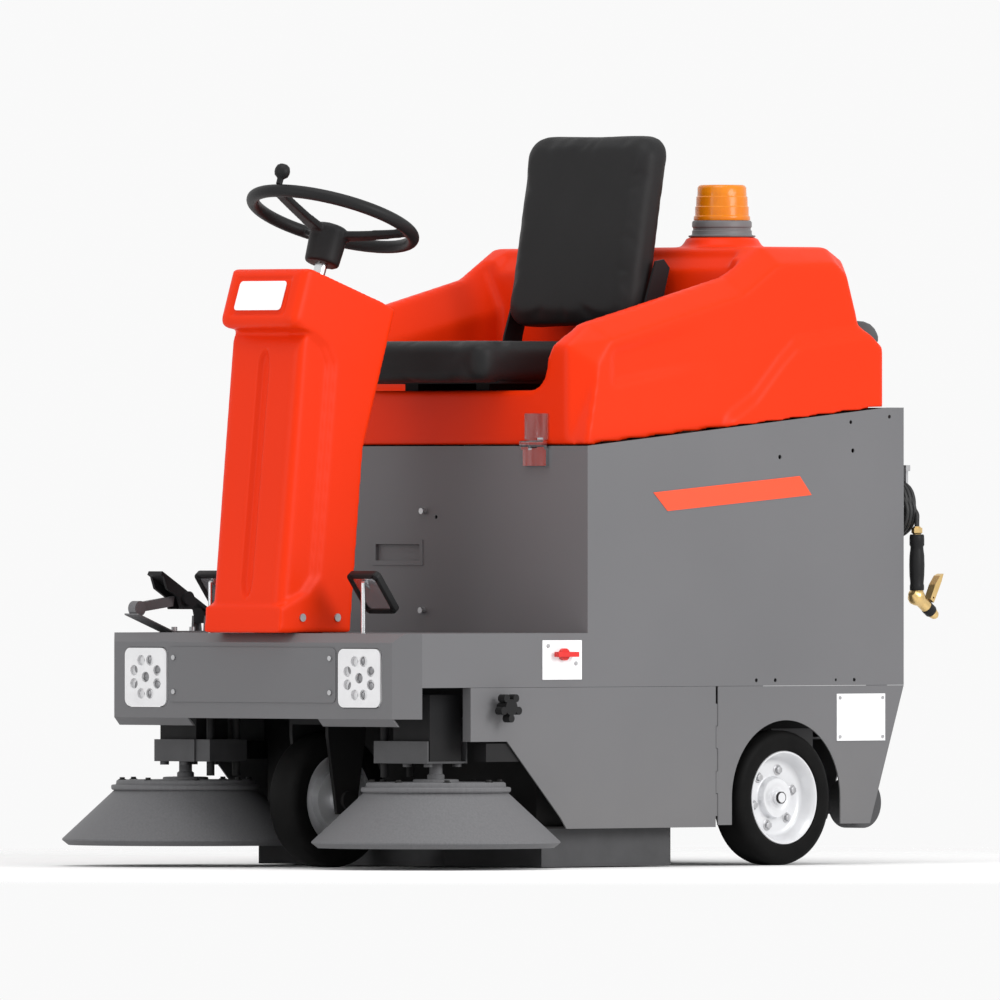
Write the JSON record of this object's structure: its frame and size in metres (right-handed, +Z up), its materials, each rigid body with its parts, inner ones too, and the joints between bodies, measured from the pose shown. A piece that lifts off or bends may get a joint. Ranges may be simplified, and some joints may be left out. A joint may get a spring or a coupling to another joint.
{
  "type": "ride-on floor sweeper",
  "caption": "Ride-on floor sweeper with steered front wheel, side brushes, main brush, tilting hood with seat, sliding dust hopper, doors and a coiled spray hose.",
  "frame": {"origin": "centre of the footprint, on the floor", "axes": "+Z up, -Y the driving direction (front), +X the left side of the machine"},
  "size_m": [1.2, 1.5983, 1.471],
  "materials": {
    "grey_paint": "satin",
    "orange_plastic": "gloss",
    "black_paint": "satin",
    "black_plastic": "matte",
    "dark_grey_plastic": "matte",
    "bristle": "matte",
    "white_plastic": "satin",
    "red_plastic": "gloss",
    "vinyl": "satin",
    "tyre_rubber": "matte",
    "grey_rubber": "matte",
    "black_rubber": "matte",
    "chrome": "polished",
    "steel": "brushed",
    "cast_aluminium": "satin",
    "brass": "satin",
    "amber": "gloss",
    "tank_plastic": "satin"
  },
  "bodies": {
    "chassis": {"batteries": "black_plastic", "body_hinge_leaves": "chrome", "brush_chamber": "black_paint", "bumper_cover": "grey_paint", "chamber_skirts": "black_rubber", "chassis_frame": "black_paint", "column_cover": "orange_plastic", "fasteners": "steel", "front_panel": "grey_paint", "front_platform": "grey_paint", "headlights": "cast_aluminium", "hose_coil": "black_rubber", "hose_hook": "orange_plastic", "hose_run": "black_rubber", "main_brush_motor": "steel", "quarter_panel_left": "grey_paint", "quarter_panel_right": "grey_paint", "rear_panel": "grey_paint", "side_panel_left": "grey_paint", "side_panel_right": "grey_paint", "spray_gun": "black_plastic", "suction_fan": "dark_grey_plastic", "water_tank": "tank_plastic", "white_plates": "white_plastic"},
    "steering_wheel": {"steering_wheel": "black_plastic", "steering_shaft": "chrome"},
    "spinner_knob": {"spinner_knob": "black_plastic"},
    "column_shaft": {"column_shaft": "steel"},
    "steering_fork": {"steering_fork": "black_paint"},
    "front_wheel": {"front_hub": "cast_aluminium", "front_tyre": "tyre_rubber"},
    "rear_wheel_left": {"rear_rim_left": "chrome", "rear_tyre_left": "tyre_rubber"},
    "rear_wheel_right": {"rear_rim_right": "chrome", "rear_tyre_right": "tyre_rubber"},
    "side_arm_left": {"side_arm_left": "steel", "side_brush_motor_left": "black_plastic"},
    "side_arm_right": {"side_arm_right": "steel", "side_brush_motor_right": "black_plastic"},
    "side_brush_left": {"side_brush_left": "bristle"},
    "side_brush_right": {"side_brush_right": "bristle"},
    "main_brush": {"main_brush": "bristle"},
    "accelerator": {"accelerator_pedal": "black_paint"},
    "brake_pedal": {"brake_pedal": "steel"},
    "flap_pedal": {"flap_pedal": "steel"},
    "door_left": {"door_left": "grey_paint"},
    "door_right": {"door_right": "grey_paint"},
    "door_knob_left": {"door_knob_left": "black_plastic"},
    "door_knob_right": {"door_knob_right": "black_plastic"},
    "hood": {"hood": "orange_plastic", "seat_cushion": "vinyl", "seat_backrest": "vinyl", "seat_frame": "black_paint", "beacon_base": "dark_grey_plastic", "beacon_lens": "amber", "hood_hinge_leaves": "chrome"},
    "isolator_key": {"isolator_key": "red_plastic"},
    "gun_lever": {"gun_lever": "brass"},
    "dust_hopper": {"dust_hopper": "grey_paint"},
    "hopper_rollers": {"hopper_rollers": "grey_rubber"}
  },
  "joints": [
    {"name": "steering_turn", "type": "hinge", "parent": "chassis", "child": "steering_wheel", "pos_m": [0, -0.4898, 1.289], "axis": [0, 0.3355, 0.9421], "range_deg": [-165, 165]},
    {"name": "column_shaft_turn", "type": "hinge", "parent": "chassis", "child": "column_shaft", "pos_m": [0, -0.6138, 0.66], "axis": [0, 0, 1], "range_deg": [-165, 165]},
    {"name": "fork_swivel", "type": "hinge", "parent": "chassis", "child": "steering_fork", "pos_m": [0, -0.5048, 0.35], "axis": [0, 0, 1], "range_deg": [-55, 55]},
    {"name": "front_wheel_spin", "type": "hinge", "parent": "steering_fork", "child": "front_wheel", "pos_m": [0, -0.5048, 0.134], "axis": [1, 0, 0], "continuous": true},
    {"name": "rear_wheel_left_spin", "type": "hinge", "parent": "chassis", "child": "rear_wheel_left", "pos_m": [0.393, 0.3542, 0.135], "axis": [1, 0, 0], "continuous": true},
    {"name": "rear_wheel_right_spin", "type": "hinge", "parent": "chassis", "child": "rear_wheel_right", "pos_m": [-0.393, 0.3542, 0.135], "axis": [1, 0, 0], "continuous": true},
    {"name": "main_brush_spin", "type": "hinge", "parent": "chassis", "child": "main_brush", "pos_m": [0, -0.1428, 0.142], "axis": [1, 0, 0], "continuous": true},
    {"name": "side_arm_left_lift", "type": "slide", "parent": "chassis", "child": "side_arm_left", "axis": [0, 0, 1], "range_m": [-0.042, 0]},
    {"name": "side_arm_right_lift", "type": "slide", "parent": "chassis", "child": "side_arm_right", "axis": [0, 0, 1], "range_m": [-0.042, 0]},
    {"name": "side_brush_left_spin", "type": "hinge", "parent": "side_arm_left", "child": "side_brush_left", "pos_m": [0.354, -0.5532, 0.18], "axis": [0, 0, 1], "continuous": true},
    {"name": "side_brush_right_spin", "type": "hinge", "parent": "side_arm_right", "child": "side_brush_right", "pos_m": [-0.354, -0.5532, 0.18], "axis": [0, 0, 1], "continuous": true},
    {"name": "accelerator_press", "type": "hinge", "parent": "chassis", "child": "accelerator", "pos_m": [-0.36, -0.5008, 0.49], "axis": [1, 0, 0], "range_deg": [0, 6], "stiffness_Nm_per_rad": 4, "springref_deg": -20.05},
    {"name": "brake_press", "type": "hinge", "parent": "chassis", "child": "brake_pedal", "pos_m": [-0.216, -0.6188, 0.448], "axis": [1, 0, 0], "range_deg": [-15, 0], "stiffness_Nm_per_rad": 4, "springref_deg": 20.05},
    {"name": "flap_press", "type": "hinge", "parent": "chassis", "child": "flap_pedal", "pos_m": [0.216, -0.6188, 0.448], "axis": [1, 0, 0], "range_deg": [-15, 0], "stiffness_Nm_per_rad": 4, "springref_deg": 20.05},
    {"name": "door_left_swing", "type": "hinge", "parent": "chassis", "child": "door_left", "pos_m": [0.4332, 0.1567, 0.22], "axis": [0, 0, 1], "range_deg": [0, 100]},
    {"name": "door_right_swing", "type": "hinge", "parent": "chassis", "child": "door_right", "pos_m": [-0.4332, 0.1567, 0.22], "axis": [0, 0, -1], "range_deg": [0, 100]},
    {"name": "door_knob_left_turn", "type": "hinge", "parent": "door_left", "child": "door_knob_left", "pos_m": [0.445, -0.4558, 0.32], "axis": [1, 0, 0], "continuous": true},
    {"name": "door_knob_right_turn", "type": "hinge", "parent": "door_right", "child": "door_knob_right", "pos_m": [-0.445, -0.4558, 0.32], "axis": [1, 0, 0], "continuous": true},
    {"name": "isolator_turn", "type": "hinge", "parent": "chassis", "child": "isolator_key", "pos_m": [0.44, -0.2808, 0.424], "axis": [1, 0, 0], "range_deg": [0, 90]},
    {"name": "hood_tilt", "type": "hinge", "parent": "chassis", "child": "hood", "pos_m": [0, -0.2208, 0.842], "axis": [1, 0, 0], "range_deg": [0, 60]},
    {"name": "gun_lever_squeeze", "type": "hinge", "parent": "chassis", "child": "gun_lever", "pos_m": [0.433, 0.7702, 0.534], "axis": [1, 0, 0], "range_deg": [0, 20], "stiffness_Nm_per_rad": 0.3, "springref_deg": -22.92},
    {"name": "hopper_slide", "type": "slide", "parent": "chassis", "child": "dust_hopper", "axis": [0, 1, 0], "range_m": [0, 0.55]},
    {"name": "hopper_rollers_spin", "type": "hinge", "parent": "dust_hopper", "child": "hopper_rollers", "pos_m": [0, 0.6142, 0.123], "axis": [1, 0, 0], "continuous": true},
    {"name": "spinner_knob_spin", "type": "hinge", "parent": "steering_wheel", "child": "spinner_knob", "pos_m": [0, -0.6443, 1.34401], "axis": [0, 0.3355, 0.9421], "continuous": true}
  ],
  "couplings": [
    {"joint": "column_shaft_turn", "follows": "steering_turn", "ratio": 1},
    {"joint": "fork_swivel", "follows": "steering_turn", "ratio": 0.33333}
  ]
}
